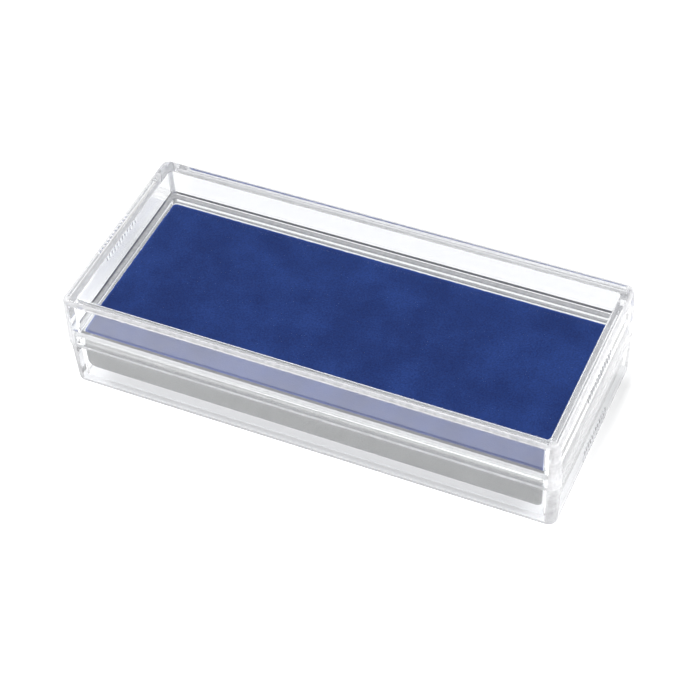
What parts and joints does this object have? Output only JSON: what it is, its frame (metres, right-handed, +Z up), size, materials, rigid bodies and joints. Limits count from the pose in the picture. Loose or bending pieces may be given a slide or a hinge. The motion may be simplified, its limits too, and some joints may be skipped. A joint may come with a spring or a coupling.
{
  "type": "coin display tray",
  "caption": "Clear two-piece rigid plastic display tray with a lift-off lid over a velvet-faced foam pad, for laying out coins or medals.",
  "frame": {"origin": "middle of the base tray's underside, on the surface the tray stands on", "axes": "+X along the tray's length, +Y from the front long side to the back one, +Z up through the lid"},
  "size_m": [0.13, 0.057, 0.0286],
  "materials": {
    "clear_plastic": "water-clear injection-moulded polystyrene, polished faces",
    "foam": "fine-celled light grey polyurethane foam, cut faces",
    "card": "plain white card, cut edges",
    "velvet": "royal blue short-pile velvet"
  },
  "bodies": {
    "base": {"base_tray": "clear_plastic", "foam_block": "foam", "backing_card": "card", "velvet_facing": "velvet"},
    "lid": {"lid": "clear_plastic"}
  },
  "joints": [
    {"name": "lid_lift", "type": "slide", "parent": "base", "child": "lid", "axis": [0, 0, 1], "range_m": [0, 0.04]}
  ]
}
